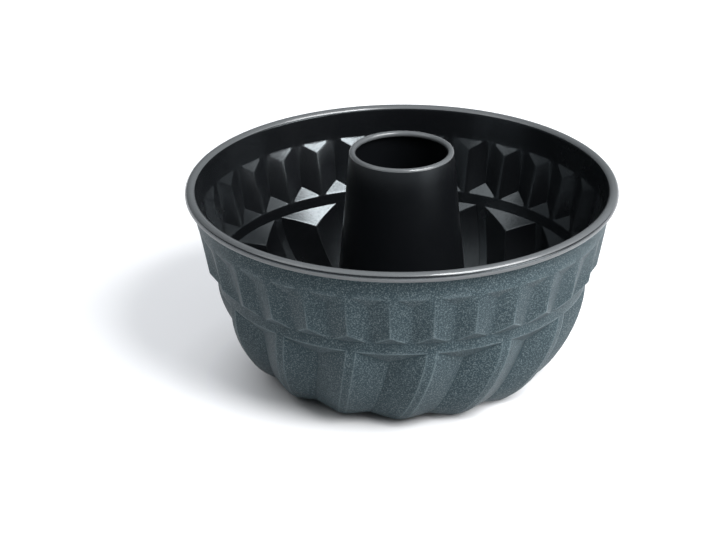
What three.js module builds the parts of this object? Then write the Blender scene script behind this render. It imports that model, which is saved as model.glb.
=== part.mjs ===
// Fluted tube pan: a deep-drawn sheet-steel ring mould with a wired rim and a separate centre tube.
// Millimetres, +Z up. The origin is on the pan's axis, on the plane that the flutes stand on.
import * as THREE from "three";

// Sheet and fits
const sheetThickness = 0.6;
const clearance = 0.3; // gap left between two pieces where they touch

// Rolled rim
const rimRadius = 110; // outside of the rolled edge
const rimTopHeight = 99.5;
const rimBeadRadius = 2.6; // section of the rolled edge
const curlGap = 0.5; // between the end of a rolled edge and the wall that it rolls back to

// Plain band under the rim, and the upper flutes
const bandDepth = 13.4; // from the middle of the rolled edge down to the flutes
const bandDrawIn = 0.7; // how far the wall closes in over that depth
const upperFluteCount = 30;
const upperFluteDepth = 28.1; // from the band down to the plain ring
const upperDrawIn = 9.4;
const upperHipDepth = 5.5; // triangles that close the valleys under the band
const upperHipDrawIn = 3.1;
const upperHipShare = 0.79; // part of a flute that the triangle spans
const ringHipDepth = 5.5; // triangles that close the crests above the plain ring
const ringHipDrawIn = 5.2;
const ringHipShare = 0.88;

// Plain ring between the two rows of flutes
const ringDepth = 5.8;
const ringDrawIn = 0.6;

// Lower flutes, which turn as they run down and under the base
const lowerFluteCount = 15;
const lowerHipDepth = 7.65;
const lowerHipDrawIn = 6.9;
const lowerHipShare = 0.873;
const lowerHipLead = 0.87; // degrees that the tip of a triangle is turned from its middle
const lowerTwist = 12.1; // degrees from the plain ring to the feet
const lowerTwistEase = 1.4; // above 1 the turn starts gently
const floorTwist = 6; // degrees from the feet to the tube
const crestAzimuth = 3.13; // degrees, where one crest of both rows starts

// Rounding of the lower crests and valleys, as shares of their rise and of their reach under the base
const crestFullness = 0.42;
const crestBulge = 0.9; // how far the crest leans out below the ring
const crestSweep = 0.37;
const valleyFullness = 0.32;
const valleyLean = 3.8; // how far the valley leans in below the triangle
const valleySweep = 0.54;
const floorSweep = 0.4;

// Feet, the low flats of the crests, and the floor inside them
const footRadius = 64.5;
const footLength = 4;
const floorFluteDepth = 3.5; // valleys lie this far above the feet

// Tube, and its seam at the base
const tubeHeight = 117.6;
const tubeTopRadius = 26.55;
const tubeFootRadius = 35.9;
const lipBeadRadius = 1.55;
const seatHeight = 9; // upper face of the shell round the tube
const seatWidth = 4;
const shoulderWidth = 2.1; // step of the tube that sits on the seat
const bendRadius = 0.5; // inside of the small bends at the seam
const collarDepth = 5; // turned-down edge of the shell
const hemLength = 2.5; // folded-up foot of the tube

// Facets
const rimSegments = 72;
const tubeSegments = 40;
const rimCurlSteps = 8;
const lipCurlSteps = 7;
const bendSteps = 2;
const hemSteps = 4;
const wallRows = 8;
const floorRows = 3;
const sideSteps = 3;
const wireSides = 8;
const samePointDistance = 0.001;

const { degToRad, lerp } = THREE.MathUtils;

// Heights and radii that follow, all on the shell's outer face
const rimCentreRadius = rimRadius - rimBeadRadius;
const rimCentreHeight = rimTopHeight - rimBeadRadius;
const wallTopRadius = rimCentreRadius - rimBeadRadius + sheetThickness;
const bandFoot = { radius: wallTopRadius - bandDrawIn, height: rimCentreHeight - bandDepth };
const ringTop = { radius: bandFoot.radius - upperDrawIn, height: bandFoot.height - upperFluteDepth };
const ringFoot = { radius: ringTop.radius - ringDrawIn, height: ringTop.height - ringDepth };
const valleyTop = { radius: ringFoot.radius - lowerHipDrawIn, height: ringFoot.height - lowerHipDepth };
const seatUnderside = seatHeight - sheetThickness;
const seatRadius = tubeFootRadius + seatWidth;
const neckRadius = tubeFootRadius - shoulderWidth;
const collarRadius = neckRadius + clearance + sheetThickness;
const collarFoot = seatHeight - collarDepth;

// A point on the shell: azimuth in degrees from +Y towards +X.
function at(azimuth, radius, height) {
  return { azimuth, radius, height };
}

function mix(from, to, share) {
  return at(
    lerp(from.azimuth, to.azimuth, share),
    lerp(from.radius, to.radius, share),
    lerp(from.height, to.height, share),
  );
}

// A plain round loop of points.
function circle(count, radius, height) {
  return Array.from({ length: count }, (_, i) => at((i * 360) / count, radius, height));
}

// Loops on an arc of the section, from one angle to another, with a point at both ends.
function arcLoops(count, centreRadius, centreHeight, arcRadius, startAngle, endAngle, steps) {
  return Array.from({ length: steps + 1 }, (_, i) => {
    const angle = lerp(startAngle, endAngle, i / steps);
    const radius = centreRadius + arcRadius * Math.cos(angle);
    return circle(count, radius, centreHeight + arcRadius * Math.sin(angle));
  });
}

// Collar and seat, from the collar's free edge up and outwards.
function collarLoops() {
  const bendCentre = collarRadius + bendRadius;
  return [
    circle(tubeSegments, collarRadius, collarFoot),
    ...arcLoops(
      tubeSegments, bendCentre, seatUnderside - bendRadius, bendRadius, Math.PI, Math.PI / 2, bendSteps,
    ),
  ];
}

// Profile of a crest or a valley: from the seat down to the feet, along the foot, and up to the plain ring.
function fluteProfile(top, lean, fullness, sweep, footHeight) {
  const footOuter = new THREE.Vector2(footRadius + footLength / 2, footHeight);
  const footInner = new THREE.Vector2(footRadius - footLength / 2, footHeight);
  const rise = top.height - footHeight;
  const reach = top.radius - footOuter.x;
  const wall = new THREE.CubicBezierCurve(
    footOuter,
    new THREE.Vector2(footOuter.x + reach * sweep, footHeight),
    new THREE.Vector2(top.radius + lean, top.height - rise * fullness),
    new THREE.Vector2(top.radius, top.height),
  );
  const seatEdge = new THREE.Vector2(seatRadius, seatUnderside);
  const floor = new THREE.CubicBezierCurve(
    seatEdge,
    seatEdge.clone().lerp(footInner, floorSweep),
    new THREE.Vector2(lerp(footInner.x, seatRadius, floorSweep), footHeight),
    footInner,
  );
  return [...floor.getPoints(floorRows), ...wall.getPoints(wallRows)];
}

// Degrees that the lower flutes have turned at each row of their profile.
function twistRows() {
  const fallingShares = (rows) => Array.from({ length: rows + 1 }, (_, i) => 1 - i / rows);
  return [
    ...fallingShares(floorRows).map((share) => lowerTwist + floorTwist * share),
    ...fallingShares(wallRows).map((share) => lowerTwist * share ** lowerTwistEase),
  ];
}

// One loop round the lower flutes: each crest is a narrow flat, and its sides run straight to the valleys.
function lowerLoop(crest, valley, turn, lead) {
  const halfPitch = 180 / lowerFluteCount;
  const flat = halfPitch * (1 - lowerHipShare);
  const loop = [];
  for (let flute = 0; flute < lowerFluteCount; flute += 1) {
    const middle = crestAzimuth + flute * 2 * halfPitch + turn;
    const edge = at(middle + flat, crest.x, crest.y);
    const floor = at(middle + halfPitch + lead, valley.x, valley.y);
    const nextEdge = at(middle + 2 * halfPitch - flat, crest.x, crest.y);
    loop.push(at(middle - flat, crest.x, crest.y));
    for (let i = 0; i < sideSteps; i += 1) loop.push(mix(edge, floor, i / sideSteps));
    for (let i = 0; i < sideSteps; i += 1) loop.push(mix(floor, nextEdge, i / sideSteps));
  }
  return loop;
}

function lowerLoops() {
  const crest = fluteProfile(ringFoot, crestBulge, crestFullness, crestSweep, 0);
  const valley = fluteProfile(valleyTop, -valleyLean, valleyFullness, valleySweep, floorFluteDepth);
  const turns = twistRows();
  const last = turns.length - 1;
  return turns.map((turn, row) => {
    const lead = lowerHipLead * Math.max(0, (row - last + wallRows) / wallRows);
    return lowerLoop(crest[row], valley[row], turn, lead);
  });
}

// Foot of the plain ring, with a point over each point of the lower flutes.
function ringFootLoop() {
  const foot = new THREE.Vector2(ringFoot.radius, ringFoot.height);
  return lowerLoop(foot, foot, 0, 0);
}

// Upper flutes: loops of valley, side, crest and side, which meet in triangles at the band and at the ring.
function upperLoops() {
  const halfPitch = 180 / upperFluteCount;
  const ringSpan = halfPitch * (1 - ringHipShare);
  const bandSpan = halfPitch * upperHipShare;
  const crestFoot = at(0, ringTop.radius + ringHipDrawIn, ringTop.height + ringHipDepth);
  const valleyHead = at(0, bandFoot.radius - upperHipDrawIn, bandFoot.height - upperHipDepth);
  const loopOf = (span, valley, crest, side) =>
    Array.from({ length: upperFluteCount }, (_, i) => {
      const middle = crestAzimuth + (2 * i - 1) * halfPitch;
      return [
        at(middle, valley.radius, valley.height),
        at(middle + span, side.radius, side.height),
        at(middle + halfPitch, crest.radius, crest.height),
        at(middle + 2 * halfPitch - span, side.radius, side.height),
      ];
    }).flat();
  return [
    loopOf(ringSpan, ringTop, ringTop, ringTop),
    loopOf(ringSpan, ringTop, crestFoot, ringTop),
    loopOf(bandSpan, valleyHead, bandFoot, bandFoot),
    loopOf(bandSpan, bandFoot, bandFoot, bandFoot),
  ];
}

// Rolled edge: the outer face of the wall turns into the inside of the curl.
function rimLoops() {
  const curlRadius = rimBeadRadius - sheetThickness;
  const curlEnd = -Math.acos((sheetThickness + curlGap) / rimBeadRadius - 1);
  return arcLoops(
    rimSegments, rimCentreRadius, rimCentreHeight, curlRadius, Math.PI, curlEnd, rimCurlSteps,
  );
}

// Pairs of steps that join two loops. Equal loops join point by point, others by the nearer next azimuth.
function stripTriangles(lower, upper) {
  const next = (loop, i) => (i < loop.length ? loop[i].azimuth : loop[i - loop.length].azimuth + 360);
  const triangles = [];
  let i = 0;
  let j = 0;
  while (i < lower.length || j < upper.length) {
    const from = [lower[i % lower.length], upper[j % upper.length]];
    const inStep = lower.length === upper.length ? i <= j : next(lower, i + 1) <= next(upper, j + 1);
    if (j === upper.length || (i < lower.length && inStep)) {
      i += 1;
      triangles.push([from[0], from[1], lower[i % lower.length]]);
    } else {
      j += 1;
      triangles.push([from[0], from[1], upper[j % upper.length]]);
    }
  }
  return triangles;
}

// A face of shared points and index triangles, made from a stack of loops. Points that coincide become one.
function skin(loops) {
  const points = [];
  const known = new Map();
  const indexOf = ({ azimuth, radius, height }) => {
    const angle = degToRad(azimuth);
    const point = new THREE.Vector3(radius * Math.sin(angle), radius * Math.cos(angle), height);
    const key = point.toArray().map((value) => Math.round(value / samePointDistance)).join(" ");
    if (!known.has(key)) known.set(key, points.push(point) - 1);
    return known.get(key);
  };
  const triangles = [];
  for (let row = 0; row + 1 < loops.length; row += 1) {
    for (const corners of stripTriangles(loops[row], loops[row + 1])) {
      const [a, b, c] = corners.map(indexOf);
      if (a !== b && b !== c && c !== a) triangles.push([a, b, c]);
    }
  }
  return { points, triangles };
}

// Mean normal of each point, lengthened so that a step along it moves every face there by one unit.
function offsetDirections(points, triangles) {
  const faces = points.map(() => []);
  for (const corners of triangles) {
    const [a, b, c] = corners.map((index) => points[index]);
    const normal = new THREE.Triangle(a, b, c).getNormal(new THREE.Vector3());
    corners.forEach((index, turn) => {
      const here = points[index];
      const ahead = points[corners[(turn + 1) % 3]].clone().sub(here);
      const behind = points[corners[(turn + 2) % 3]].clone().sub(here);
      faces[index].push({ normal, weight: ahead.angleTo(behind) });
    });
  }
  return faces.map((list) => {
    const mean = new THREE.Vector3();
    for (const { normal, weight } of list) mean.addScaledVector(normal, weight);
    mean.normalize();
    const total = list.reduce((sum, { weight }) => sum + weight, 0);
    const lean = list.reduce((sum, { normal, weight }) => sum + weight * mean.dot(normal), 0) / total;
    return mean.divideScalar(lean);
  });
}

// Gives a face the thickness of the sheet and closes its free edges.
function thicken({ points, triangles }, thickness) {
  const directions = offsetDirections(points, triangles);
  const inner = points.map((point, i) => point.clone().addScaledVector(directions[i], -thickness));
  const count = points.length;
  const closed = triangles.flatMap(([a, b, c]) => [[a, b, c], [a + count, c + count, b + count]]);
  const edges = new Map();
  for (const [a, b, c] of triangles) {
    for (const edge of [[a, b], [b, c], [c, a]]) edges.set(edge.join(" "), edge);
  }
  for (const [from, to] of edges.values()) {
    if (edges.has(`${to} ${from}`)) continue;
    closed.push([to, from, from + count], [to, from + count, to + count]);
  }
  const geometry = new THREE.BufferGeometry().setFromPoints([...points, ...inner]);
  geometry.setIndex(closed.flat());
  geometry.computeVertexNormals();
  return geometry;
}

function shellGeometry() {
  const loops = [...collarLoops(), ...lowerLoops(), ringFootLoop(), ...upperLoops(), ...rimLoops()];
  return thicken(skin(loops), sheetThickness);
}

// Closed outline of a bent sheet, from the middle line of its section.
function sheetOutline(middle, thickness) {
  const points = middle.getPoints(1);
  const side = (sign) =>
    points.map((point, i) => {
      const before = points[Math.max(i - 1, 0)];
      const after = points[Math.min(i + 1, points.length - 1)];
      const ahead = after.clone().sub(point).normalize();
      const behind = point.clone().sub(before).normalize();
      const along = ahead.clone().add(behind).normalize();
      const straight = i === 0 || i === points.length - 1 ? 1 : along.dot(ahead);
      const across = new THREE.Vector2(-along.y, along.x);
      return point.clone().addScaledVector(across, (sign * thickness) / (2 * straight));
    });
  const outline = [...side(-1), ...side(1).reverse()];
  return [...outline, outline[0].clone()];
}

// A round bend added to a path as short straight steps.
function addBend(path, centreX, centreY, radius, startAngle, endAngle, steps) {
  for (let i = 0; i <= steps; i += 1) {
    const angle = lerp(startAngle, endAngle, i / steps);
    path.lineTo(centreX + radius * Math.cos(angle), centreY + radius * Math.sin(angle));
  }
}

// Section of the tube: hem round the shell's collar, neck, shoulder on the seat, tapered wall, rolled lip.
function tubeGeometry() {
  const half = sheetThickness / 2;
  const neck = neckRadius - half;
  const hemFold = clearance + sheetThickness;
  const bend = bendRadius + half;
  const shoulder = seatHeight + clearance + half;
  const wallFoot = tubeFootRadius - half - bend;
  const lipFold = lipBeadRadius - half;
  const lipCentre = new THREE.Vector2(tubeTopRadius - lipBeadRadius, tubeHeight - lipBeadRadius);
  const wallRise = lipCentre.y - shoulder - bend;
  const taper = Math.atan2(tubeFootRadius - tubeTopRadius, wallRise);
  const lipEnd = 2 * Math.PI - Math.acos(1 - (sheetThickness + curlGap) / lipBeadRadius);
  const path = new THREE.Path();
  path.moveTo(neck + 2 * hemFold, collarFoot + hemLength);
  addBend(path, neck + hemFold, collarFoot, hemFold, 0, -Math.PI, hemSteps);
  addBend(path, neck + bend, shoulder - bend, bend, Math.PI, Math.PI / 2, bendSteps);
  addBend(path, wallFoot, shoulder + bend, bend, -Math.PI / 2, taper, bendSteps);
  addBend(path, lipCentre.x, lipCentre.y, lipFold, taper, lipEnd, lipCurlSteps);
  return new THREE.LatheGeometry(sheetOutline(path, sheetThickness), tubeSegments).rotateX(Math.PI / 2);
}

// The wire lies in the middle of the rolled rim.
function wireGeometry() {
  const wireRadius = rimBeadRadius - sheetThickness - clearance;
  const ring = new THREE.TorusGeometry(rimCentreRadius, wireRadius, wireSides, rimSegments);
  return ring.translate(0, 0, rimCentreHeight);
}

function piece(name, geometry, color, roughness, metalness) {
  const material = new THREE.MeshStandardMaterial({ color, roughness, metalness });
  const mesh = new THREE.Mesh(geometry, material);
  mesh.name = name;
  return mesh;
}

const pan = new THREE.Group();
pan.name = "fluted_tube_pan";
pan.add(
  piece("fluted_shell", shellGeometry(), 0x5a6066, 0.5, 0.3),
  piece("centre_tube", tubeGeometry(), 0x17181b, 0.4, 0.2),
  piece("rim_wire", wireGeometry(), 0x8f9396, 0.4, 1),
);

export default pan;
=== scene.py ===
"""Dresses the fluted tube pan: pressed sheet, centre tube, coats, studio and camera.

Lengths are in metres and angles in degrees. +Z is up and the pan's axis is the Z axis. Azimuths run from
+Y towards +X, so the camera stands at azimuth 180.
"""

import logging
import math
from collections.abc import Iterable, Sequence
from dataclasses import dataclass
from enum import Enum

import bmesh
import bpy
import numpy as np
from mathutils import Matrix, Vector


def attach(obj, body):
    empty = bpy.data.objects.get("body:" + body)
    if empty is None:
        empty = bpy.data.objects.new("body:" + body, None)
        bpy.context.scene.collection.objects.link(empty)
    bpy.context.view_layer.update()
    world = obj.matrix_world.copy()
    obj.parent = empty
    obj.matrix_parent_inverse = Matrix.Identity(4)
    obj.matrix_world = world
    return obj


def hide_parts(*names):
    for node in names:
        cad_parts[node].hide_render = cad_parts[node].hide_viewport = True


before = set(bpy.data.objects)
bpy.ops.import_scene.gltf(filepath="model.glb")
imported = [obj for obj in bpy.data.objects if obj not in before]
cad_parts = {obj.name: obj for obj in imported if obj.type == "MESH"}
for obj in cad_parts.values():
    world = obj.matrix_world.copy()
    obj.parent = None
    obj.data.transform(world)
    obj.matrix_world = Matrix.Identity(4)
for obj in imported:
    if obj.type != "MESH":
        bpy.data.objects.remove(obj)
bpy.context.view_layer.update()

LOG = logging.getLogger("fluted_tube_pan")
BODY = "root"
SHEET = 0.0006
COLLAR_FOOT = 0.004
MERGE_DISTANCE = 1e-5
LOOP_TOLERANCE = 2e-5
SMOOTH_ANGLE = 50.0

# A fold of the full radius or a sharper one is marked in full
FOLD_ATTRIBUTE = "fold"
FULL_FOLD_RADIUS = 0.0022
FOLD_SPREAD_ROUNDS = 1

# The face of a sheet that stays in place when it gets its thickness
KEEP_OUTER_FACE = -1.0
KEEP_MIDDLE = 0.0

# Most noise values lie in the first range, and a patchy look takes the second
NOISE_RANGE = (0.3, 0.7)
PATCH_RANGE = (0.35, 0.65)

Colour = tuple[float, float, float]
Piece = bpy.types.Object
Socket = bpy.types.NodeSocket


# Plain geometry


@dataclass(frozen=True)
class Ring:
    """A level circle round the pan's axis."""

    radius: float
    height: float

    def mix(self, other: "Ring", share: float) -> "Ring":
        """The circle that lies a share of the way to another."""
        return Ring(
            self.radius + (other.radius - self.radius) * share,
            self.height + (other.height - self.height) * share,
        )

    def moved(self, out: float, up: float) -> "Ring":
        """The circle that lies further out and further up."""
        return Ring(self.radius + out, self.height + up)


@dataclass(frozen=True)
class SheetPoint:
    """A point of the sheet, by azimuth and circle."""

    azimuth: float
    ring: Ring

    def mix(self, other: "SheetPoint", share: float) -> "SheetPoint":
        """The point that lies a share of the way to another."""
        turn = self.azimuth + (other.azimuth - self.azimuth) * share
        return SheetPoint(turn, self.ring.mix(other.ring, share))

    def place(self) -> Vector:
        """The point in the pan's frame."""
        angle, reach = math.radians(self.azimuth), self.ring.radius
        return Vector((reach * math.sin(angle), reach * math.cos(angle), self.ring.height))


def bezier(points: Sequence[Ring], share: float) -> Ring:
    """Point of a cubic curve in the section of the pan.

    Args:
        points: The four control points.
        share: Place along the curve, from 0 to 1.

    Returns:
        The circle at that place.
    """
    start, lead, trail, end = points
    first = start.mix(lead, share)
    middle = lead.mix(trail, share)
    last = trail.mix(end, share)
    return first.mix(middle, share).mix(middle.mix(last, share), share)


def arc_rings(centre: Ring, radius: float, start: float, end: float, steps: int) -> list[Ring]:
    """Circles along an arc in the section of the pan.

    Args:
        centre: Middle of the arc.
        radius: Radius of the arc.
        start: First angle in degrees, from the outward direction towards up.
        end: Last angle in degrees.
        steps: Number of steps between the two ends.

    Returns:
        The circles, both ends included.
    """
    angles = [math.radians(start + (end - start) * i / steps) for i in range(steps + 1)]
    return [Ring(centre.radius + radius * math.cos(a), centre.height + radius * math.sin(a)) for a in angles]


def line_rings(start: Ring, end: Ring, steps: int) -> list[Ring]:
    """Circles on a straight stretch of the section, without its first point."""
    return [start.mix(end, i / steps) for i in range(1, steps + 1)]


def gathered_shares(steps: int, gather: float) -> list[float]:
    """Shares from 0 to 1 that lie closer together at both ends.

    Args:
        steps: Number of steps.
        gather: 0 for even steps, towards 1 for ends that are closer.

    Returns:
        The shares, 0 and 1 included.
    """
    even = [i / steps for i in range(steps + 1)]
    return [u - gather * math.sin(2 * math.pi * u) / (2 * math.pi) for u in even]


# Steps at the bench that several pieces share


class Bench:
    """Modelling steps in Blender's object and edit modes."""

    @staticmethod
    def clear() -> None:
        """Deselects everything, so that operators act on the new piece alone."""
        bpy.ops.object.select_all(action="DESELECT")

    @staticmethod
    def open_edit(select_mode: str) -> None:
        """Enters edit mode with nothing selected.

        Args:
            select_mode: What is to be selected: VERT, EDGE or FACE.
        """
        bpy.ops.object.mode_set(mode="EDIT")
        bpy.ops.mesh.select_mode(type=select_mode)
        bpy.ops.mesh.select_all(action="DESELECT")

    @staticmethod
    def close_edit() -> None:
        """Goes back to object mode."""
        bpy.ops.object.mode_set(mode="OBJECT")

    @staticmethod
    def select_open_loop(piece: Piece, ring: Ring) -> None:
        """Selects the free edge of a sheet that lies on a circle.

        Args:
            piece: The piece in edit mode.
            ring: The circle.
        """
        mesh = bmesh.from_edit_mesh(piece.data)
        for edge in mesh.edges:
            near = all(
                abs(math.hypot(v.co.x, v.co.y) - ring.radius) < LOOP_TOLERANCE
                and abs(v.co.z - ring.height) < LOOP_TOLERANCE
                for v in edge.verts
            )
            edge.select_set(near and len(edge.link_faces) < 2)
        bmesh.update_edit_mesh(piece.data)

    @staticmethod
    def pull_loop(start: Ring, path: Iterable[Ring]) -> None:
        """Extrudes the selected loop from circle to circle.

        Args:
            start: The circle that the loop lies on.
            path: The circles that it is drawn through.
        """
        here = start
        for there in path:
            rise = (0.0, 0.0, there.height - here.height)
            bpy.ops.mesh.extrude_edges_move(TRANSFORM_OT_translate={"value": rise})
            growth = there.radius / here.radius
            bpy.ops.transform.resize(value=(growth, growth, 1.0), center_override=(0.0, 0.0, there.height))
            here = there

    @staticmethod
    def face_outwards(piece: Piece) -> None:
        """Merges doubles and turns the sheet's faces away from the axis at its widest place.

        Args:
            piece: The piece in edit mode.
        """
        bpy.ops.mesh.select_all(action="SELECT")
        bpy.ops.mesh.remove_doubles(threshold=MERGE_DISTANCE)
        bpy.ops.mesh.normals_make_consistent(inside=False)
        bpy.ops.object.mode_set(mode="OBJECT")
        wall = max(piece.data.polygons, key=lambda face: face.area)
        outward = Vector((wall.center.x, wall.center.y, 0.0)).dot(wall.normal) > 0.0
        bpy.ops.object.mode_set(mode="EDIT")
        if not outward:
            bpy.ops.mesh.select_all(action="SELECT")
            bpy.ops.mesh.flip_normals()

    @staticmethod
    def thicken(piece: Piece, thickness: float, kept: float, slot_step: int) -> None:
        """Gives a sheet its thickness, and smooth shading between its sharp edges.

        Args:
            piece: The sheet, without thickness.
            thickness: Thickness of the metal.
            kept: What the given sheet becomes, KEEP_OUTER_FACE or KEEP_MIDDLE.
            slot_step: Slots from the outer face's finish to the inner face's.
        """
        wall = piece.modifiers.new("sheet", "SOLIDIFY")
        wall.thickness = thickness
        wall.offset = kept
        wall.use_even_offset = True
        wall.use_quality_normals = True
        wall.material_offset = slot_step
        wall.material_offset_rim = slot_step
        bpy.ops.object.modifier_apply(modifier=wall.name)
        bpy.ops.object.shade_smooth_by_angle(angle=math.radians(SMOOTH_ANGLE))

    @staticmethod
    def flatten_faces(piece: Piece) -> None:
        """Lets large faces look flat right up to the narrow rounding of a fold.

        Args:
            piece: The finished sheet.
        """
        flats = piece.modifiers.new("flat faces", "WEIGHTED_NORMAL")
        flats.mode = "FACE_AREA"
        flats.keep_sharp = True
        bpy.ops.object.modifier_apply(modifier=flats.name)

    @staticmethod
    def mark_folds(piece: Piece) -> None:
        """Writes how sharply the surface folds at each point, from -1 for inwards to 1 for outwards.

        Args:
            piece: The finished piece.
        """
        mesh = piece.data
        count = len(mesh.vertices)
        places = np.empty(count * 3)
        mesh.vertices.foreach_get("co", places)
        places = places.reshape(-1, 3)
        normals = np.empty(count * 3)
        mesh.vertex_normals.foreach_get("vector", normals)
        normals = normals.reshape(-1, 3)
        ends = np.empty(len(mesh.edges) * 2, dtype=np.int32)
        mesh.edges.foreach_get("vertices", ends)
        first, second = ends.reshape(-1, 2).T
        step = places[second] - places[first]
        square = np.maximum((step**2).sum(1), MERGE_DISTANCE**2)
        bends = np.zeros(count)
        np.add.at(bends, first, -2 * (step * normals[first]).sum(1) / square)
        np.add.at(bends, second, 2 * (step * normals[second]).sum(1) / square)
        neighbours = np.bincount(first, minlength=count) + np.bincount(second, minlength=count)
        values = bends / np.maximum(neighbours, 1)
        for _ in range(FOLD_SPREAD_ROUNDS):
            spread = np.bincount(first, values[second], count) + np.bincount(second, values[first], count)
            values = 0.5 * values + 0.5 * spread / np.maximum(neighbours, 1)
        values = np.clip(values * FULL_FOLD_RADIUS, -1.0, 1.0)
        attribute = mesh.attributes.new(FOLD_ATTRIBUTE, "FLOAT", "POINT")
        attribute.data.foreach_set("value", values)


# Finishes


class NodeBoard:
    """Adds nodes to a material, a group or a world, and links them."""

    def __init__(self, tree: bpy.types.NodeTree) -> None:
        """Starts on a node tree."""
        self.tree = tree

    def add(self, kind: str, **settings: object) -> bpy.types.Node:
        """Adds a node and sets its own properties.

        Args:
            kind: Blender's type name of the node.
            **settings: Properties of the node.

        Returns:
            The node.
        """
        node = self.tree.nodes.new(kind)
        for name, value in settings.items():
            setattr(node, name, value)
        return node

    def feed(self, socket: Socket, source: object) -> None:
        """Links an input to an output, or sets it to a plain value.

        Args:
            socket: The input.
            source: The output or the value.
        """
        if isinstance(source, Socket):
            self.tree.links.new(source, socket)
        else:
            socket.default_value = source

    def math(self, operation: str, first: object, second: object) -> Socket:
        """A calculation on two values.

        Args:
            operation: Blender's name of the calculation.
            first: Output or plain value.
            second: Output or plain value.

        Returns:
            The result.
        """
        node = self.add("ShaderNodeMath", operation=operation)
        self.feed(node.inputs[0], first)
        self.feed(node.inputs[1], second)
        return node.outputs[0]

    def noise(self, place: Socket, scale: object, detail: float) -> Socket:
        """A noise value.

        Args:
            place: Where it is taken.
            scale: Features to the metre.
            detail: Finer layers on top.

        Returns:
            The value, mostly inside NOISE_RANGE.
        """
        node = self.add("ShaderNodeTexNoise")
        self.feed(node.inputs["Vector"], place)
        self.feed(node.inputs["Scale"], scale)
        self.feed(node.inputs["Detail"], detail)
        return node.outputs["Fac"]

    def spread(self, value: object, low: object, high: object, to_low: object, to_high: object) -> Socket:
        """A value carried from one range to another and held inside it.

        Args:
            value: The value.
            low: Start of its range.
            high: End of its range.
            to_low: Start of the new range.
            to_high: End of the new range.

        Returns:
            The value in the new range.
        """
        node = self.add("ShaderNodeMapRange", clamp=True)
        for socket, source in zip(node.inputs[:5], (value, low, high, to_low, to_high)):
            self.feed(socket, source)
        return node.outputs["Result"]

    def blend(self, share: object, low: object, high: object) -> Socket:
        """A colour between two others.

        Args:
            share: 0 for the first colour, 1 for the second.
            low: The first colour.
            high: The second colour.

        Returns:
            The colour.
        """
        node = self.add("ShaderNodeMix", data_type="RGBA")
        colours = [socket for socket in node.inputs if socket.type == "RGBA"]
        self.feed(node.inputs["Factor"], share)
        self.feed(colours[0], low)
        self.feed(colours[1], high)
        return next(socket for socket in node.outputs if socket.type == "RGBA")

    def place(self) -> Socket:
        """Object coordinates of the piece."""
        return self.add("ShaderNodeTexCoord").outputs["Object"]

    def bump(self, height: Socket, depth: float, strength: float) -> Socket:
        """A normal bent by a height.

        Args:
            height: Height from 0 to 1.
            depth: Depth of the full height.
            strength: How much of it shows.

        Returns:
            The normal.
        """
        node = self.add("ShaderNodeBump")
        node.inputs["Strength"].default_value = strength
        node.inputs["Distance"].default_value = depth
        self.feed(node.inputs["Height"], height)
        return node.outputs["Normal"]


class GrainGroup:
    """Fine grain of a sprayed and baked coat, shared by all the coats."""

    NAME = "coat grain"
    COARSE_DETAIL = 2.0
    COARSE_SHARE = 0.62
    FINE_RATIO = 2.3
    FINE_DETAIL = 1.0
    FINE_SHARE = 0.38
    FLECK_RISE = 0.12
    CLOUDS_PER_METRE = 38.0
    CLOUD_DETAIL = 3.0

    @classmethod
    def get(cls) -> bpy.types.NodeTree:
        """The group, built on first use.

        Returns:
            A group that turns a place, a grain size and a fleck share into flecks, grain and clouds.
        """
        if cls.NAME in bpy.data.node_groups:
            return bpy.data.node_groups[cls.NAME]
        tree = bpy.data.node_groups.new(cls.NAME, "ShaderNodeTree")
        sockets = tree.interface
        sockets.new_socket("Place", in_out="INPUT", socket_type="NodeSocketVector")
        for name in ("Grains per metre", "Fleck level"):
            sockets.new_socket(name, in_out="INPUT", socket_type="NodeSocketFloat")
        for name in ("Flecks", "Grain", "Clouds"):
            sockets.new_socket(name, in_out="OUTPUT", socket_type="NodeSocketFloat")
        board = NodeBoard(tree)
        given = board.add("NodeGroupInput").outputs
        result = board.add("NodeGroupOutput").inputs
        coarse = board.noise(given["Place"], given["Grains per metre"], cls.COARSE_DETAIL)
        fine_scale = board.math("MULTIPLY", given["Grains per metre"], cls.FINE_RATIO)
        fine = board.noise(given["Place"], fine_scale, cls.FINE_DETAIL)
        coarse_part = board.math("MULTIPLY", coarse, cls.COARSE_SHARE)
        fine_part = board.math("MULTIPLY", fine, cls.FINE_SHARE)
        grain = board.math("ADD", coarse_part, fine_part)
        top = board.math("ADD", given["Fleck level"], cls.FLECK_RISE)
        board.feed(result["Flecks"], board.spread(grain, given["Fleck level"], top, 0.0, 1.0))
        board.feed(result["Grain"], grain)
        board.feed(result["Clouds"], board.noise(given["Place"], cls.CLOUDS_PER_METRE, cls.CLOUD_DETAIL))
        return tree


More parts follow.
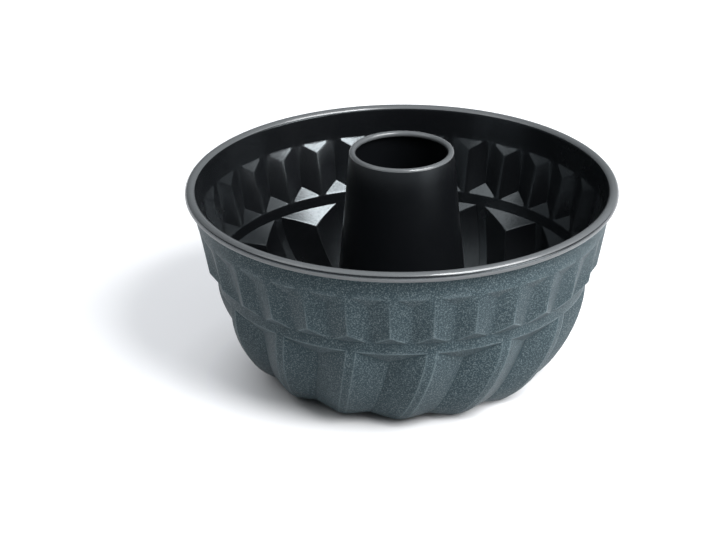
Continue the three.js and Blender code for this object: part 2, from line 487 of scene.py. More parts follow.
@dataclass(frozen=True)
class Coat:
    """A sprayed non-stick coat with fine flecks, with a painted highlight along its outward folds and painted
    shade in its inward folds.
    """

    name: str
    ground: Colour
    fleck: Colour
    fleck_level: float
    grains: float
    roughness: tuple[float, float]
    metallic: tuple[float, float]
    specular: float
    grain_depth: float
    grain_strength: float
    ior: float = 1.5
    gloss_tint: Colour = (1.0, 1.0, 1.0)
    fold_highlight: Colour = (0.0, 0.0, 0.0)
    highlight_strength: float = 0.0
    highlight_edge: float = 1.3
    least_highlight: float = 0.55
    crease_shade: float = 0.0

    def material(self) -> bpy.types.Material:
        """Builds the coat's material.

        Returns:
            The material, on object coordinates and the fold attribute.
        """
        material = bpy.data.materials.new(self.name)
        material.use_nodes = True
        board = NodeBoard(material.node_tree)
        shader = material.node_tree.nodes["Principled BSDF"]
        shader.inputs["Specular IOR Level"].default_value = self.specular
        shader.inputs["IOR"].default_value = self.ior
        shader.inputs["Specular Tint"].default_value = (*self.gloss_tint, 1.0)
        grain = board.add("ShaderNodeGroup", node_tree=GrainGroup.get())
        board.feed(grain.inputs["Place"], board.place())
        board.feed(grain.inputs["Grains per metre"], self.grains)
        board.feed(grain.inputs["Fleck level"], self.fleck_level)
        flecked = board.blend(grain.outputs["Flecks"], (*self.ground, 1.0), (*self.fleck, 1.0))
        fold = board.add("ShaderNodeAttribute", attribute_name=FOLD_ATTRIBUTE).outputs["Fac"]
        # Outward folds turn paler in patches, towards the pale fold colour: a painted highlight.
        patchy = board.spread(grain.outputs["Clouds"], *PATCH_RANGE, self.least_highlight, 1.0)
        raised = board.math("POWER", board.spread(fold, 0.0, 1.0, 0.0, 1.0), self.highlight_edge)
        # Inward folds lose their flecks and take the darker ground colour: painted shade in the creases.
        sunken = board.spread(fold, -1.0, 0.0, self.crease_shade, 0.0)
        crease_shaded = board.blend(sunken, flecked, (*self.ground, 1.0))
        highlit = board.math("MULTIPLY", board.math("MULTIPLY", raised, patchy), self.highlight_strength)
        fold_highlight = board.blend(highlit, crease_shaded, (*self.fold_highlight, 1.0))
        board.feed(shader.inputs["Base Color"], fold_highlight)
        board.feed(shader.inputs["Metallic"], board.spread(grain.outputs["Flecks"], 0.0, 1.0, *self.metallic))
        roughness = board.spread(grain.outputs["Clouds"], *NOISE_RANGE, *self.roughness)
        board.feed(shader.inputs["Roughness"], roughness)
        normal = board.bump(grain.outputs["Grain"], self.grain_depth, self.grain_strength)
        board.feed(shader.inputs["Normal"], normal)
        return material


@dataclass(frozen=True)
class DrawnSteel:
    """Bright drawn wire with fine lines."""

    name: str
    colour: Colour
    roughness: tuple[float, float]
    lines: float
    line_detail: float = 2.0
    line_shade: float = 0.7

    def material(self) -> bpy.types.Material:
        """Builds the wire's material.

        Returns:
            The material, on object coordinates.
        """
        material = bpy.data.materials.new(self.name)
        material.use_nodes = True
        board = NodeBoard(material.node_tree)
        shader = material.node_tree.nodes["Principled BSDF"]
        shader.inputs["Metallic"].default_value = 1.0
        lines = board.noise(board.place(), self.lines, self.line_detail)
        dark = tuple(self.line_shade * channel for channel in self.colour)
        board.feed(shader.inputs["Base Color"], board.blend(lines, (*dark, 1.0), (*self.colour, 1.0)))
        board.feed(shader.inputs["Roughness"], board.spread(lines, *NOISE_RANGE, *self.roughness))
        return material


class Finish(Enum):
    """The finishes of the pan."""

    OUTSIDE = Coat(
        name="speckled grey coat",
        ground=(0.0255, 0.0405, 0.0480),
        fleck=(0.108, 0.134, 0.142),
        # The pale fold colour and its strength paint a highlight along outward folds.
        fold_highlight=(0.199, 0.249, 0.266),
        fleck_level=0.50,
        grains=1400.0,
        highlight_strength=0.65,
        # Inward folds darken: painted shade in the creases.
        crease_shade=0.8,
        roughness=(0.40, 0.48),
        metallic=(0.0, 0.15),
        specular=0.10,
        gloss_tint=(0.80, 0.94, 1.0),
        grain_depth=0.00012,
        grain_strength=0.55,
    )
    INSIDE = Coat(
        name="black satin coat",
        ground=(0.0030, 0.0034, 0.0042),
        fleck=(0.0090, 0.0098, 0.0110),
        fleck_level=0.54,
        grains=900.0,
        # Inward folds darken: painted shade in the creases.
        crease_shade=0.6,
        roughness=(0.22, 0.28),
        metallic=(0.0, 0.45),
        specular=0.50,
        ior=1.72,
        gloss_tint=(0.86, 0.95, 1.0),
        grain_depth=0.00008,
        grain_strength=0.50,
    )
    # Pale grey on the rolled rim and on the tube's lip, lighter than the black coat round them: a painted
    # highlight.
    RIM = Coat(
        name="pale rim coat with painted highlight",
        ground=(0.088, 0.094, 0.099),
        fleck=(0.120, 0.127, 0.132),
        fleck_level=0.54,
        grains=1500.0,
        roughness=(0.19, 0.26),
        metallic=(0.05, 0.15),
        specular=0.50,
        grain_depth=0.00004,
        grain_strength=0.25,
    )
    # Grey on the lower outer side of the rolled rim: a painted reflection of the white floor.
    RIM_SIDE = Coat(
        name="grey rim coat",
        ground=(0.095, 0.102, 0.107),
        fleck=(0.130, 0.138, 0.143),
        fleck_level=0.54,
        grains=1500.0,
        roughness=(0.30, 0.38),
        metallic=(0.05, 0.15),
        specular=0.50,
        grain_depth=0.00004,
        grain_strength=0.25,
    )
    TUBE = Coat(
        name="black satin tube coat",
        ground=(0.0030, 0.0034, 0.0042),
        fleck=(0.0080, 0.0088, 0.0098),
        # The pale fold colour and its strength paint a highlight along the tube's outward folds.
        fold_highlight=(0.030, 0.032, 0.034),
        fleck_level=0.56,
        grains=1500.0,
        highlight_strength=0.15,
        # Inward folds darken: painted shade in the creases.
        crease_shade=0.6,
        roughness=(0.28, 0.36),
        metallic=(0.0, 0.30),
        specular=0.28,
        gloss_tint=(0.86, 0.95, 1.0),
        grain_depth=0.00005,
        grain_strength=0.25,
    )
    WIRE = DrawnSteel(name="drawn steel wire", colour=(0.52, 0.52, 0.51), roughness=(0.28, 0.42), lines=900.0)

    def make(self) -> bpy.types.Material:
        """The finish as a new material."""
        return self.value.material()


# Pieces of the pan


class Stretch(Enum):
    """Stretches of the pressed sheet, from the seat round the tube up to the plain band."""

    FLOOR = "floor"
    FOOT = "foot"
    WALL = "wall"
    LOWER_HIP = "lower hip"
    RING = "ring"
    RING_HIP = "ring hip"
    FLUTE = "flute"
    BAND_HIP = "band hip"


ROW_STEPS = {
    Stretch.FLOOR: 7,
    Stretch.FOOT: 2,
    Stretch.WALL: 20,
    Stretch.LOWER_HIP: 6,
    Stretch.RING: 6,
    Stretch.RING_HIP: 6,
    Stretch.FLUTE: 8,
    Stretch.BAND_HIP: 6,
}

# Slots of the shell, where each place on the inner face takes the slot after the outer face's
SHELL_FINISHES = (Finish.OUTSIDE, Finish.INSIDE, Finish.RIM, Finish.RIM_SIDE)
INNER_STEP = 1


@dataclass
class FlutedShell:
    """The deep-drawn sheet: collar, seat, lower flutes, plain ring, upper flutes, band and rolled rim.

    A hip is one of the flat triangles that close a flute. Depths run down and draw-ins towards the axis. The
    share of a hip is the part of half a flute's width that it takes.
    """

    # Rolled rim
    sheet: float = SHEET
    rim_radius: float = 0.110
    rim_top: float = 0.0995
    bead_radius: float = 0.0026
    curl_gap: float = 0.0005
    # The rolled edge is painted: a pale highlight over its top and inner side, a band of black coat across
    # its outer side as a dark reflection, and grey below that as the floor's reflection.
    painted_highlight_end: float = 150.0
    painted_dark_reflection: tuple[float, float] = (8.0, 30.0)
    # Plain band, upper flutes and plain ring
    band_depth: float = 0.0134
    band_draw_in: float = 0.0007
    upper_depth: float = 0.0281
    upper_draw_in: float = 0.0094
    band_hip_depth: float = 0.0055
    band_hip_draw_in: float = 0.0031
    band_hip_share: float = 0.79
    ring_hip_depth: float = 0.0055
    ring_hip_draw_in: float = 0.0052
    ring_hip_share: float = 0.88
    ring_depth: float = 0.0058
    ring_draw_in: float = 0.0006
    # Lower flutes
    flute_count: int = 15
    lower_hip_depth: float = 0.00765
    lower_hip_draw_in: float = 0.0069
    lower_hip_share: float = 0.873
    lower_hip_lead: float = 0.87
    lower_twist: float = 12.1
    lower_twist_ease: float = 1.4
    floor_twist: float = 6.0
    crest_azimuth: float = 3.13
    crest_fullness: float = 0.42
    crest_bulge: float = 0.0009
    crest_sweep: float = 0.37
    valley_fullness: float = 0.32
    valley_lean: float = 0.0038
    valley_sweep: float = 0.54
    floor_sweep: float = 0.4
    foot_radius: float = 0.0645
    foot_length: float = 0.004
    floor_flute_depth: float = 0.0035
    # Seat and collar
    seat: Ring = Ring(0.0399, 0.0084)
    collar_radius: float = 0.0347
    collar_bend: float = 0.0005
    collar_foot: float = COLLAR_FOOT
    # Steps of the grid and of the drawn edges
    flat_columns: int = 4
    side_columns: int = 14
    half_flute_columns: int = 8
    side_gather: float = 0.85
    fold_margin: float = 0.05
    row_gather: float = 0.85
    band_steps: int = 5
    roll_steps: int = 33
    seat_steps: int = 3
    collar_bend_steps: int = 4
    collar_steps: int = 2
    # Softness of the folds, which ends part of the way up the band
    fold_softness: float = 0.5
    fold_rounds: int = 1
    soft_band_share: float = 0.3

    @property
    def bead_centre(self) -> Ring:
        """Middle of the rolled edge."""
        return Ring(self.rim_radius - self.bead_radius, self.rim_top - self.bead_radius)

    @property
    def wall_top(self) -> Ring:
        """Outer face of the wall at the height of the rolled edge's middle."""
        return Ring(self.bead_centre.radius - self.bead_radius + self.sheet, self.bead_centre.height)

    @property
    def band_foot(self) -> Ring:
        """Where the plain band meets the upper flutes."""
        return self.wall_top.moved(-self.band_draw_in, -self.band_depth)

    @property
    def ring_top(self) -> Ring:
        """Upper edge of the plain ring."""
        return self.band_foot.moved(-self.upper_draw_in, -self.upper_depth)

    @property
    def ring_foot(self) -> Ring:
        """Lower edge of the plain ring."""
        return self.ring_top.moved(-self.ring_draw_in, -self.ring_depth)

    @property
    def pitch(self) -> float:
        """Degrees from one lower flute to the next."""
        return 360.0 / self.flute_count

    @property
    def half_flute(self) -> float:
        """Degrees that half an upper flute takes."""
        return self.pitch / 4

    @property
    def columns(self) -> int:
        """Columns of the grid that one lower flute takes."""
        return self.flat_columns + 2 * self.side_columns

    def rows(self) -> list[tuple[Stretch, float]]:
        """Lists the rows of the grid.

        Returns:
            Each row's stretch and its place along that stretch.
        """
        found = [(Stretch.FLOOR, 0.0)]
        for stretch, steps in ROW_STEPS.items():
            even = stretch in (Stretch.FLOOR, Stretch.FOOT)
            shares = gathered_shares(steps, 0.0 if even else self.row_gather)
            found += [(stretch, share) for share in shares[1:]]
        return found

    def flute_section(self, stretch: Stretch, share: float, is_crest: bool) -> Ring:
        """Profile of a lower crest or valley, from the seat to the plain ring.

        Args:
            stretch: Floor, foot or wall.
            share: Place along that stretch.
            is_crest: Whether the crest is meant, or the valley.

        Returns:
            The profile's circle there.
        """
        low = 0.0 if is_crest else self.floor_flute_depth
        inner = Ring(self.foot_radius - self.foot_length / 2, low)
        outer = Ring(self.foot_radius + self.foot_length / 2, low)
        if stretch is Stretch.FLOOR:
            trail = Ring(inner.radius + (self.seat.radius - inner.radius) * self.floor_sweep, low)
            return bezier((self.seat, self.seat.mix(inner, self.floor_sweep), trail, inner), share)
        if stretch is Stretch.FOOT:
            return inner.mix(outer, share)
        valley_top = self.ring_foot.moved(-self.lower_hip_draw_in, -self.lower_hip_depth)
        top = self.ring_foot if is_crest else valley_top
        lean = self.crest_bulge if is_crest else -self.valley_lean
        fullness = self.crest_fullness if is_crest else self.valley_fullness
        sweep = self.crest_sweep if is_crest else self.valley_sweep
        lead = Ring(outer.radius + (top.radius - outer.radius) * sweep, low)
        trail = Ring(top.radius + lean, top.height - (top.height - low) * fullness)
        return bezier((outer, lead, trail, top), share)

    def lower_point(self, stretch: Stretch, share: float, column: int) -> SheetPoint:
        """Point of the lower flutes.

        Args:
            stretch: Floor, foot or wall.
            share: Place along that stretch.
            column: Column of the grid, from the edge of one crest's flat to that of the next.

        Returns:
            The point of the sheet.
        """
        turn = self.lower_twist
        lead = 0.0
        if stretch is Stretch.FLOOR:
            turn += self.floor_twist * (1.0 - share)
        if stretch is Stretch.WALL:
            turn *= (1.0 - share) ** self.lower_twist_ease
            lead = self.lower_hip_lead * share
        azimuth, depth = self.lower_column(column, lead)
        crest = self.flute_section(stretch, share, True)
        valley = self.flute_section(stretch, share, False)
        return SheetPoint(self.crest_azimuth + turn + azimuth, crest.mix(valley, depth))

    def lower_column(self, column: int, lead: float) -> tuple[float, float]:
        """Finds a column of the lower flutes.

        Args:
            column: Column of the grid.
            lead: Degrees that the valley lies past the middle between two crests.

        Returns:
            Its azimuth from the crest's middle, and its share of the way from crest to valley.
        """
        half = self.pitch / 2
        flat = half * (1.0 - self.lower_hip_share)
        shares = gathered_shares(self.side_columns, self.side_gather)
        valley_column = self.flat_columns + self.side_columns
        valley = half + lead
        if column <= self.flat_columns:
            return flat * (2.0 * gathered_shares(self.flat_columns, self.side_gather)[column] - 1.0), 0.0
        if column <= valley_column:
            share = shares[column - self.flat_columns]
            return flat + (valley - flat) * share, share
        share = shares[column - valley_column]
        return valley + (self.pitch - flat - valley) * share, 1.0 - share

    def half_flute_shares(self) -> tuple[float, ...]:
        """Spaces the columns of half an upper flute, close to its folds and to the ends of its hips.

        Returns:
            Each column's share of the way from valley to crest.
        """
        ring_edge = 1.0 - self.ring_hip_share
        band_edge = self.band_hip_share
        between = band_edge - ring_edge
        beside = self.fold_margin
        return (
            0.0,
            beside,
            ring_edge,
            ring_edge + between / 3,
            ring_edge + between * 2 / 3,
            band_edge,
            0.5 * (band_edge + 1.0),
            1.0 - beside,
            1.0,
        )

    def upper_column(self, column: int) -> tuple[float, float]:
        """Finds a column of the upper flutes.

        Args:
            column: Column of the grid.

        Returns:
            Its azimuth from the crest's middle, and its share of the way from valley to crest.
        """
        shares = self.half_flute_shares()
        half, step = divmod(column, self.half_flute_columns)
        if half % 2:
            return self.half_flute * (half + shares[step]), shares[step]
        height = shares[self.half_flute_columns - step]
        return self.half_flute * (half + 1.0 - height), height

    def upper_point(self, stretch: Stretch, share: float, column: int) -> SheetPoint:
        """Point of the upper flutes and of their hips.

        Args:
            stretch: Ring hip, flute or band hip.
            share: Place along that stretch.
            column: Column of the grid.

        Returns:
            The point of the sheet.
        """
        azimuth, height = self.upper_column(column)
        ring_edge = 1.0 - self.ring_hip_share
        crest_foot = self.ring_top.moved(self.ring_hip_draw_in, self.ring_hip_depth)
        valley_head = self.band_foot.moved(-self.band_hip_draw_in, -self.band_hip_depth)
        low = self.ring_top.mix(crest_foot, max(0.0, (height - ring_edge) / self.ring_hip_share))
        high = valley_head.mix(self.band_foot, min(1.0, height / self.band_hip_share))
        ends = {
            Stretch.RING_HIP: (self.ring_top, low),
            Stretch.FLUTE: (low, high),
            Stretch.BAND_HIP: (high, self.band_foot),
        }
        start, end = ends[stretch]
        return SheetPoint(self.crest_azimuth + azimuth, start.mix(end, share))

    def point(self, stretch: Stretch, share: float, column: int) -> SheetPoint:
        """Point of the sheet's outer face.

        Args:
            stretch: Stretch that the row lies in.
            share: Place along that stretch.
            column: Column of the grid.

        Returns:
            The point of the sheet.
        """
        if stretch in (Stretch.FLOOR, Stretch.FOOT, Stretch.WALL):
            return self.lower_point(stretch, share, column)
        if stretch in (Stretch.RING_HIP, Stretch.FLUTE, Stretch.BAND_HIP):
            return self.upper_point(stretch, share, column)
        azimuth, _ = self.lower_column(column, 0.0)
        ring_foot = SheetPoint(self.crest_azimuth + azimuth, self.ring_foot)
        if stretch is Stretch.LOWER_HIP:
            return self.lower_point(Stretch.WALL, 1.0, column).mix(ring_foot, share)
        return ring_foot.mix(self.upper_point(Stretch.RING_HIP, 0.0, column), share)

    def press_sector(self) -> Piece:
        """Presses a flat grid into one lower flute with the two upper flutes above it.

        Returns:
            The piece, a fifteenth of the sheet.
        """
        rows = self.rows()
        last_row = len(rows) - 1
        Bench.clear()
        bpy.ops.mesh.primitive_grid_add(x_subdivisions=self.columns, y_subdivisions=last_row, size=1.0)
        piece = bpy.context.object
        piece.name = "pressed_shell"
        for vertex in piece.data.vertices:
            column = round((vertex.co.x + 0.5) * self.columns)
            stretch, share = rows[round((vertex.co.y + 0.5) * last_row)]
            vertex.co = self.point(stretch, share, column).place()
        return piece

    def curl(self) -> list[Ring]:
        """Section of the band and of the rolled edge, on the sheet's outer face.

        Returns:
            The circles after the foot of the band.
        """
        turn_end = -math.degrees(math.acos((self.sheet + self.curl_gap) / self.bead_radius - 1.0))
        roll = arc_rings(self.bead_centre, self.bead_radius - self.sheet, 180.0, turn_end, self.roll_steps)
        return line_rings(self.band_foot, self.wall_top, self.band_steps) + roll[1:]

    def collar(self) -> list[Ring]:
        """Section of the seat and of the collar that the tube is folded round.

        Returns:
            The circles after the outer edge of the seat.
        """
        bend = Ring(self.collar_radius + self.collar_bend, self.seat.height - self.collar_bend)
        turn = arc_rings(bend, self.collar_bend, 90.0, 180.0, self.collar_bend_steps)
        free_edge = Ring(self.collar_radius, self.collar_foot)
        flat = line_rings(self.seat, turn[0], self.seat_steps)
        return flat + turn[1:] + line_rings(turn[-1], free_edge, self.collar_steps)

    def space_rim(self, piece: Piece) -> None:
        """Slides the columns of the band round the axis, so that they are evenly spaced on the rolled edge.

        Args:
            piece: The sheet, in object mode.
        """
        rising = self.half_flute_shares()
        falling = [1.0 - share for share in reversed(rising)]
        even = [step / self.half_flute_columns for step in range(self.half_flute_columns + 1)]
        start = self.band_foot.height
        reach = self.wall_top.height - start
        for vertex in piece.data.vertices:
            if vertex.co.z <= start:
                continue
            azimuth = math.degrees(math.atan2(vertex.co.x, vertex.co.y)) - self.crest_azimuth
            half, place = divmod(azimuth, self.half_flute)
            shares = rising if half % 2 else falling
            moved = np.interp(place / self.half_flute, shares, even) * self.half_flute - place
            share = min(1.0, (vertex.co.z - start) / reach)
            turn = Matrix.Rotation(-math.radians(moved * share), 3, "Z")
            vertex.co = turn @ vertex.co

    def select_flutes(self, piece: Piece) -> None:
        """Selects the pressed part of the sheet, clear of the seat and the rolled edge.

        Args:
            piece: The sheet in edit mode.
        """
        mesh = bmesh.from_edit_mesh(piece.data)
        top = self.band_foot.mix(self.wall_top, self.soft_band_share).height
        for vertex in mesh.verts:
            reach = math.hypot(vertex.co.x, vertex.co.y)
            vertex.select_set(reach > self.seat.radius + LOOP_TOLERANCE and vertex.co.z < top)
        mesh.select_flush_mode()
        bmesh.update_edit_mesh(piece.data)

    def build(self) -> Piece:
        """Models the whole sheet.

        Returns:
            The piece, with its finishes.
        """
        piece = self.press_sector()
        Bench.open_edit("EDGE")
        bpy.ops.mesh.select_all(action="SELECT")
        copies = self.flute_count - 1
        bpy.ops.mesh.spin(
            steps=copies,
            dupli=True,
            angle=math.radians(self.pitch * copies),
            center=(0.0, 0.0, 0.0),
            axis=(0.0, 0.0, 1.0),
        )
        bpy.ops.mesh.select_all(action="SELECT")
        bpy.ops.mesh.remove_doubles(threshold=MERGE_DISTANCE)
        Bench.select_open_loop(piece, self.band_foot)
        Bench.pull_loop(self.band_foot, self.curl())
        Bench.select_open_loop(piece, self.seat)
        Bench.pull_loop(self.seat, self.collar())
        Bench.face_outwards(piece)
        Bench.close_edit()
        self.space_rim(piece)
        Bench.open_edit("VERT")
        self.select_flutes(piece)
        bpy.ops.mesh.vertices_smooth(factor=self.fold_softness, repeat=self.fold_rounds)
        Bench.close_edit()
        self.dress(piece)
        Bench.thicken(piece, self.sheet, KEEP_OUTER_FACE, INNER_STEP)
        Bench.flatten_faces(piece)
        Bench.mark_folds(piece)
        return piece

    def inner_finish(self, place: Vector) -> Finish:
        """Picks the finish of the sheet's inner face, which is the one in sight on the rolled edge.

        Args:
            place: Middle of a face of the sheet.

        Returns:
            The finish there.
        """
        reach = math.hypot(place.x, place.y) - self.bead_centre.radius
        rise = place.z - self.bead_centre.height
        rolled = math.hypot(reach, rise) < self.bead_radius - 0.5 * self.sheet
        turn = math.degrees(math.atan2(rise, reach))
        # The pale rim coat above the band is a painted highlight, the band of black coat is a painted dark
        # reflection, and the grey rim coat below it is a painted reflection of the floor.
        line_foot, line_top = self.painted_dark_reflection
        if not rolled or turn > self.painted_highlight_end or line_foot < turn < line_top:
            return Finish.INSIDE
        return Finish.RIM if turn > line_top else Finish.RIM_SIDE

    def dress(self, piece: Piece) -> None:
        """Gives the sheet its finishes, before it has its thickness.

        Args:
            piece: The sheet's outer face.
        """
        for finish in SHELL_FINISHES:
            piece.data.materials.append(finish.make())
        for face in piece.data.polygons:
            face.material_index = SHELL_FINISHES.index(self.inner_finish(face.center)) - INNER_STEP


@dataclass
class CentreTube:
    """The tapered tube: hem round the shell's collar, neck, shoulder on the seat, wall and rolled lip."""

    sheet: float = SHEET
    clearance: float = 0.0003
    height: float = 0.1176
    top_radius: float = 0.02655
    foot_radius: float = 0.0359
    lip_radius: float = 0.00155
    lip_gap: float = 0.0005
    seat_height: float = 0.009
    shoulder_width: float = 0.0021
    bend_radius: float = 0.0005
    collar_foot: float = COLLAR_FOOT
    hem_length: float = 0.0025
    lip_highlight_radii: float = 1.6
    sides: int = 192
    hem_steps: int = 10
    neck_bend_steps: int = 4
    wall_bend_steps: int = 6
    wall_steps: int = 10
    lip_steps: int = 24

    def section(self) -> list[Ring]:
        """Middle line of the sheet.

        Returns:
            The circles from the end of the hem to the end of the lip.
        """
        half = self.sheet / 2
        neck = self.foot_radius - self.shoulder_width - half
        fold = self.clearance + self.sheet
        bend = self.bend_radius + half
        shoulder = self.seat_height + self.clearance + half
        wall_foot = self.foot_radius - half - bend
        lip = Ring(self.top_radius - self.lip_radius, self.height - self.lip_radius)
        taper = math.degrees(math.atan2(self.foot_radius - self.top_radius, lip.height - shoulder - bend))
        lip_end = 360.0 - math.degrees(math.acos(1.0 - (self.sheet + self.lip_gap) / self.lip_radius))
        hem_end = Ring(neck + 2 * fold, self.collar_foot + self.hem_length)
        hem = arc_rings(Ring(neck + fold, self.collar_foot), fold, 0.0, -180.0, self.hem_steps)
        neck_bend = arc_rings(Ring(neck + bend, shoulder - bend), bend, 180.0, 90.0, self.neck_bend_steps)
        wall_bend = arc_rings(Ring(wall_foot, shoulder + bend), bend, -90.0, taper, self.wall_bend_steps)
        roll = arc_rings(lip, self.lip_radius - half, taper, lip_end, self.lip_steps)
        wall = line_rings(wall_bend[-1], roll[0], self.wall_steps)
        return [hem_end, *hem, *neck_bend, *wall_bend, *wall, *roll[1:]]

    def build(self) -> Piece:
        """Models the tube by drawing a circle along the section.

        Returns:
            The piece, with its finishes.
        """
        start, *path = self.section()
        Bench.clear()
        bpy.ops.mesh.primitive_circle_add(
            vertices=self.sides, radius=start.radius, location=(0.0, 0.0, start.height)
        )
        piece = bpy.context.object
        piece.name = "drawn_tube"
        bpy.ops.object.transform_apply(location=True, rotation=False, scale=False)
        Bench.open_edit("EDGE")
        Bench.select_open_loop(piece, start)
        Bench.pull_loop(start, path)
        Bench.face_outwards(piece)
        Bench.close_edit()
        self.dress(piece)
        Bench.thicken(piece, self.sheet, KEEP_MIDDLE, slot_step=0)
        Bench.mark_folds(piece)
        return piece

    def dress(self, piece: Piece) -> None:
        """Coats the tube black and gives its lip the pale rim coat, a painted highlight.

        Args:
            piece: The tube, before it has its thickness.
        """
        finishes = (Finish.TUBE, Finish.RIM)
        for finish in finishes:
            piece.data.materials.append(finish.make())
        lip_foot = self.height - self.lip_highlight_radii * self.lip_radius
        for face in piece.data.polygons:
            # Faces near the lip's top take the pale rim coat: a painted highlight.
            finish = Finish.RIM if face.center.z > lip_foot else Finish.TUBE
            face.material_index = finishes.index(finish)


@dataclass
class RimWire:
    """The wire in the rolled rim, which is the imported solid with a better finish."""

    node: str = "rim_wire"

    def dress(self) -> None:
        """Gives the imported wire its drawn-steel finish."""
        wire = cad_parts[self.node]
        wire.data.materials.clear()
        wire.data.materials.append(Finish.WIRE.make())


# Camera and studio


@dataclass(frozen=True)
class PhotoCamera:
    """The photograph's camera, found by fitting the rim, the lip and the tube."""

    distance: float = 1.354
    elevation: float = 23.32
    aim_height: float = 0.0967
    yaw: float = -0.94
    pitch: float = -1.77
    roll: float = -0.50
    focal_pixels: float = 2663.0
    image_width: int = 716
    sensor_width: float = 36.0

    def place(self) -> None:
        """Adds the camera and makes it the scene's."""
        lift = math.radians(self.elevation)
        yaw, pitch, roll = (math.radians(a) for a in (self.yaw, self.pitch, self.roll))
        ahead = Vector((0.0, math.cos(lift), -math.sin(lift)))
        right = Vector((1.0, 0.0, 0.0))
        up = right.cross(ahead)
        look = (ahead * math.cos(yaw) + right * math.sin(yaw)) * math.cos(pitch) + up * math.sin(pitch)
        level = look.cross(Vector((0.0, 0.0, 1.0))).normalized()
        upright = level.cross(look)
        side = level * math.cos(roll) + upright * math.sin(roll)
        top = upright * math.cos(roll) - level * math.sin(roll)
        lens = bpy.data.cameras.new("photo_camera")
        lens.sensor_width = self.sensor_width
        lens.lens = self.focal_pixels * self.sensor_width / self.image_width
        camera = bpy.data.objects.new("photo_camera", lens)
        bpy.context.collection.objects.link(camera)
        turn = Matrix((side, top, -look)).transposed().to_4x4()
        turn.translation = -ahead * self.distance + Vector((0.0, 0.0, self.aim_height))
        camera.matrix_world = turn
        bpy.context.scene.camera = camera


@dataclass(frozen=True)
class Softbox:
    """A rectangular studio light that points at the pan."""

    name: str
    place: tuple[float, float, float]
    width: float
    height: float
    brightness: float
    aim: tuple[float, float, float] = (0.0, 0.0, 0.05)

    def set_up(self) -> None:
        """Adds the light."""
        lamp = bpy.data.lights.new(self.name, "AREA")
        lamp.shape = "RECTANGLE"
        lamp.size = self.width
        lamp.size_y = self.height
        lamp.energy = self.brightness * math.pi * self.width * self.height
        box = bpy.data.objects.new(self.name, lamp)
        bpy.context.collection.objects.link(box)
        box.location = self.place
        direction = Vector(self.aim) - Vector(self.place)
        box.rotation_euler = direction.to_track_quat("-Z", "Y").to_euler()


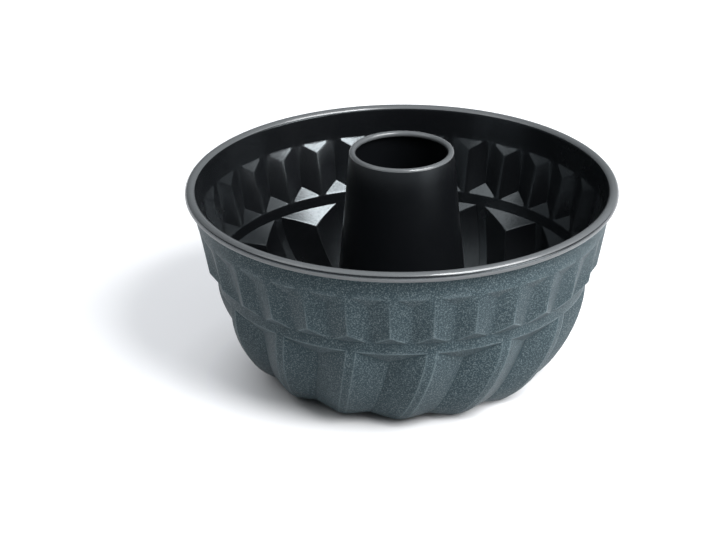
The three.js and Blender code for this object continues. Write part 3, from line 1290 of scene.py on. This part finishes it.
@dataclass
class Studio:
    """White floor, soft lights and a dim room.

    Each glow step is a distance from the glow's centre and the floor's own brightness there; the glow fades
    towards the pan's foot as a painted contact shadow, and its bluish colour tints the shadow.
    """

    floor_size: float = 14.0
    floor_colour: Colour = (0.56, 0.564, 0.572)
    # The glow fades towards the pan's foot: a painted contact shadow.
    glow_steps: tuple[tuple[float, float], ...] = (
        (0.050, 0.0),
        (0.062, 0.14),
        (0.075, 0.30),
        (0.090, 0.45),
        (0.110, 0.54),
        (0.350, 0.58),
        (0.750, 1.0),
    )
    # The glow's bluish colour tints the pan's shadow on the floor.
    glow_colour: Colour = (0.945, 0.96, 1.0)
    glow_centre: tuple[float, float, float] = (-0.012, -0.020, 0.0)
    room_colour: Colour = (0.86, 0.95, 1.0)
    room_strength: float = 0.19
    softboxes: tuple[Softbox, ...] = (
        Softbox("key_lamp", (0.462, -0.710, 1.357), 0.30, 0.30, 35.0),
        Softbox("side_softbox", (0.808, -0.631, 1.075), 1.05, 0.74, 14.4),
        Softbox("low_softbox", (1.120, -0.646, 0.186), 0.80, 0.30, 6.5),
        Softbox("left_softbox", (-0.912, -0.332, 1.128), 0.80, 0.80, 2.0),
        Softbox("wing_softbox", (1.225, 0.107, 0.818), 0.60, 0.70, 1.3),
        Softbox("ceiling_softbox", (0.0, 0.0, 2.4), 2.4, 2.4, 0.3),
    )

    def glow_level(self, board: NodeBoard) -> Socket:
        """Brightness of the floor's glow, from none under the pan to white further out; its fading near the
        pan is a painted contact shadow.

        Args:
            board: The floor's nodes.

        Returns:
            The level at each place.
        """
        reach = board.add("ShaderNodeVectorMath", operation="DISTANCE")
        reach.inputs[1].default_value = self.glow_centre
        board.feed(reach.inputs[0], board.place())
        ramp = board.add("ShaderNodeValToRGB")
        stops = ramp.color_ramp.elements
        stops.remove(stops[1])
        added = [stops.new(place) for place, _ in self.glow_steps[1:]]
        for stop, (place, level) in zip([stops[0], *added], self.glow_steps):
            stop.position = place
            stop.color = (level, level, level, 1.0)
        board.feed(ramp.inputs["Fac"], reach.outputs["Value"])
        return ramp.outputs["Color"]

    def floor_material(self) -> bpy.types.Material:
        """White floor that keeps the pan's shadow, turns plain white further out, and fades near the pan as a
        painted contact shadow.

        Returns:
            The material.
        """
        material = bpy.data.materials.new("studio floor")
        material.use_nodes = True
        tree = material.node_tree
        tree.nodes.clear()
        board = NodeBoard(tree)
        diffuse = board.add("ShaderNodeBsdfDiffuse")
        diffuse.inputs["Color"].default_value = (*self.floor_colour, 1.0)
        rays = board.add("ShaderNodeLightPath").outputs
        seen = board.math("MAXIMUM", rays["Is Camera Ray"], rays["Is Glossy Ray"])
        seen = board.math("MAXIMUM", seen, rays["Is Transmission Ray"])
        glow = board.add("ShaderNodeEmission")
        glow.inputs["Color"].default_value = (*self.glow_colour, 1.0)
        board.feed(glow.inputs["Strength"], board.math("MULTIPLY", seen, self.glow_level(board)))
        total = board.add("ShaderNodeAddShader")
        board.feed(total.inputs[0], diffuse.outputs[0])
        board.feed(total.inputs[1], glow.outputs[0])
        board.feed(board.add("ShaderNodeOutputMaterial").inputs["Surface"], total.outputs[0])
        return material

    def set_up(self) -> None:
        """Adds the floor, the lights and the room, and sets the view."""
        Bench.clear()
        bpy.ops.mesh.primitive_plane_add(size=self.floor_size)
        floor = bpy.context.object
        floor.name = "studio_floor"
        floor.data.materials.append(self.floor_material())
        for softbox in self.softboxes:
            softbox.set_up()
        scene = bpy.context.scene
        scene.world = bpy.data.worlds.new("dim room")
        scene.world.use_nodes = True
        room = scene.world.node_tree.nodes["Background"]
        room.inputs["Color"].default_value = (*self.room_colour, 1.0)
        room.inputs["Strength"].default_value = self.room_strength
        scene.view_settings.view_transform = "Standard"


@dataclass
class TubePan:
    """The whole pan."""

    shell: FlutedShell
    tube: CentreTube
    wire: RimWire

    def build(self) -> None:
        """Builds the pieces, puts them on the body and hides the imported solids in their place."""
        for builder, node, slot in (
            (self.shell, "fluted_shell", "coated_shell"),
            (self.tube, "centre_tube", "coated_tube"),
        ):
            piece = builder.build()
            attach(piece, BODY)
            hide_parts(node)
            piece.data.calc_loop_triangles()
            LOG.info("%s stands for %s, %d triangles", piece.name, node, len(piece.data.loop_triangles))
        self.wire.dress()
        LOG.info("%s keeps its solid", self.wire.node)


def main() -> None:
    """Builds the camera, the studio and the pan."""
    logging.basicConfig(level=logging.INFO)
    PhotoCamera().place()
    Studio().set_up()
    TubePan(FlutedShell(), CentreTube(), RimWire()).build()


if __name__ == "__main__":
    main()
